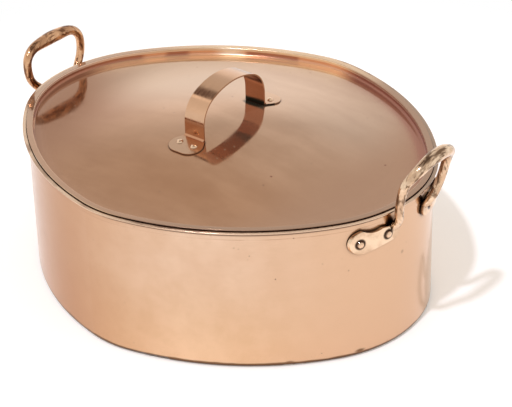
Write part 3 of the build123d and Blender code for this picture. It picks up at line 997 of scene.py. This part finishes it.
lining_tin = tin("wiped_tin", light=(0.72, 0.72, 0.70, 1.0), dark=(0.60, 0.59, 0.57, 1.0))
dress(lining_tin, "pan_tin_lining", "lid_tin_lining")

# %% [markdown]
# ## Drainer
#
# Inside the pan stands a pierced plate with two bails, which lifts the fish out whole. It is
# copper tinned all over. It could share the tin of the linings, but it is scraped by every fish
# and washed more roughly, so it gets the same recipe in greyer colours.

# %% Tin of the drainer
drainer_nodes = [name for name in nodes if name.startswith("drainer")]
drainer_tin = tin("drainer_tin", light=(0.68, 0.67, 0.64, 1.0), dark=(0.50, 0.48, 0.45, 1.0))
dress(drainer_tin, *drainer_nodes)

# %% [markdown]
# ## Floor
#
# The kettle stands on white paper that shows a soft shadow and then runs out to pure white. More
# lamps could make the paper white, but they would bleach the copper as well. So the paper has a
# plain pale colour for the light that it throws on the kettle, and the camera and the mirrors
# in the metal see it a little lifted, by a weak warm glow. Beyond the shadow they see it fade to
# white. The light path node tells those rays from the rest.

# %% Sheet of the floor
floor_half = 6.0
corner_signs = ((-1, -1), (1, -1), (1, 1), (-1, 1))


def floor_sheet():
    """A wide level sheet just under the kettle."""
    mesh = bpy.data.meshes.new("floor")
    corners = [(x * floor_half, y * floor_half, 0.0) for x, y in corner_signs]
    mesh.from_pydata(corners, [], [(0, 1, 2, 3)])
    floor = bpy.data.objects.new("floor", mesh)
    bpy.context.scene.collection.objects.link(floor)
    return floor


floor = floor_sheet()
print("floor reaches", floor_half, "m each way")

# %% Paper of the floor
paper_colour = (0.90, 0.89, 0.88, 1.0)
glow_colour = (1.0, 0.86, 0.72, 1.0)
glow_strength = 0.25
pure_white = (1.0, 1.0, 1.0, 1.0)
fade_starts = 0.55
fade_ends = 0.95


def floor_paper():
    """Pale paper that runs out to white away from the shadow, for the eye and for mirrors."""
    material, recipe, place = new_material("floor")
    rays = recipe.add("ShaderNodeLightPath")
    seen = recipe.larger(rays.outputs["Is Camera Ray"], rays.outputs["Is Glossy Ray"])
    seen = recipe.larger(seen, rays.outputs["Is Transmission Ray"])
    paper = recipe.add("ShaderNodeBsdfDiffuse", {"Color": paper_colour})
    lift = recipe.times(seen, glow_strength)
    glow = recipe.add("ShaderNodeEmission", {"Color": glow_colour, "Strength": lift})
    lifted = recipe.add("ShaderNodeAddShader", {0: paper.outputs[0], 1: glow.outputs[0]})
    white = recipe.add("ShaderNodeEmission", {"Color": pure_white, "Strength": 1.0})
    reach = recipe.add("ShaderNodeVectorMath", {0: place}, operation="LENGTH").outputs["Value"]
    share = recipe.times(recipe.ramp(reach, fade_starts, fade_ends), seen)
    blend = recipe.add("ShaderNodeMixShader", {0: share, 1: lifted.outputs[0], 2: white.outputs[0]})
    recipe.add("ShaderNodeOutputMaterial", {"Surface": blend.outputs[0]})
    return material


floor.data.materials.append(floor_paper())
print("the paper is white from", fade_ends, "m out")

# %% [markdown]
# ## Room
#
# A polished pan shows the room rather than the lamp, so the room matters more than any light
# in it. A photograph of a real room could be wrapped round the scene, but a plain one is easier
# to tune: pale walls that turn white at the horizon, and a darker ceiling, which gives the lid
# its deeper tone. Over it lie soft-edged patches, called windows here: one low behind the
# kettle, one broad at the left with a bright edge, and one dark corner high up at the back left,
# so that bright copper has something dark to mirror. The patches are placed by heading, counted
# from the camera, and by height.

# %% Directions in the room
def toward(heading, height):
    """A direction in the room: heading 0 is from the kettle to the camera and grows to its right."""
    angle = camera_heading - pi / 2 + radians(heading)
    level = cos(radians(height))
    return Vector((level * cos(angle), level * sin(angle), sin(radians(height))))


print("the camera stands toward", [round(number, 2) for number in toward(0, 30)])


# %% Patches of light in the room
def add_window(recipe, way, room, heading, height, reach, core, light):
    """Lays a patch of light over the room; it is even within core degrees and ends at reach."""
    sockets = {0: way, 1: toward(heading, height)}
    facing = recipe.add("ShaderNodeVectorMath", sockets, operation="DOT_PRODUCT")
    inside = recipe.ramp(facing.outputs["Value"], cos(radians(reach)), cos(radians(core)))
    print("window toward", heading, "at", height, "degrees, and", reach, "wide on each side")
    return recipe.mix(inside, room, light)


back_light = {"heading": -178, "height": 8, "reach": 24, "core": 8, "light": (1.3, 1.26, 1.22, 1.0)}
left_light = {"heading": -95, "height": 36, "reach": 34, "core": 24, "light": (1.05, 1.03, 1.0, 1.0)}
left_edge = {"heading": -112, "height": 55, "reach": 9, "core": 4, "light": (1.5, 1.45, 1.4, 1.0)}
dark_corner = {"heading": -138, "height": 60, "reach": 14, "core": 9, "light": (0.15, 0.095, 0.08, 1.0)}
print("the brightest patch is", max(left_edge["light"]), "times white")

# %% Room
horizon_white = (1.0, 1.0, 1.0, 1.0)
wall_colour = (0.86, 0.84, 0.82, 1.0)
ceiling_colour = (0.42, 0.395, 0.38, 1.0)
wall_starts = sin(radians(8))
wall_full = sin(radians(28))
ceiling_starts = sin(radians(57))
ceiling_full = sin(radians(68))


def make_room():
    """A pale studio: white around the horizon, soft windows, and a darker ceiling overhead."""
    world = bpy.data.worlds.new("room")
    world.use_nodes = True
    recipe = Recipe(world.node_tree)
    way = recipe.add("ShaderNodeTexCoord").outputs["Generated"]
    up = recipe.along(way, "Z")
    room = recipe.mix(recipe.ramp(up, wall_starts, wall_full), horizon_white, wall_colour)
    room = recipe.mix(recipe.ramp(up, ceiling_starts, ceiling_full), room, ceiling_colour)
    for window in (back_light, left_light, left_edge, dark_corner):
        room = add_window(recipe, way, room, **window)
    background = recipe.add("ShaderNodeBackground", {"Color": room, "Strength": 1.0})
    recipe.add("ShaderNodeOutputWorld", {"Surface": background.outputs[0]})
    return world


bpy.context.scene.world = make_room()
print("the ceiling is", ceiling_colour[:3])

# %% [markdown]
# ## Lamp
#
# The room alone gives a shadow with no edge, and the photograph shows one with a soft edge to
# the right of the kettle, and the shape of the loop in it. An area lamp near the kettle would
# spread the shadow and leave its own bright picture in the copper. A far lamp, which Blender
# calls a sun, throws parallel light, and its width as seen sets how soft the edge is.

# %% Far lamp
key_strength = 1.2
key_width = 3.0
key_colour = (1.0, 1.01, 1.16)


def far_lamp(name, heading, height):
    """A lamp so far off that its light falls parallel."""
    data = bpy.data.lights.new(name, "SUN")
    data.energy = key_strength
    data.angle = radians(key_width)
    data.color = key_colour
    lamp = bpy.data.objects.new(name, data)
    bpy.context.scene.collection.objects.link(lamp)
    lamp.rotation_euler = toward(heading, height).to_track_quat("Z", "Y").to_euler()
    return lamp


key_lamp = far_lamp("key_lamp", heading=-34, height=60)
print("lamp of strength", key_lamp.data.energy, "and", key_width, "degrees wide")

# %% [markdown]
# ## View
#
# The Standard view shows each colour as it was written, with no film look laid over it.

# %% Settings
bpy.context.scene.view_settings.view_transform = "Standard"
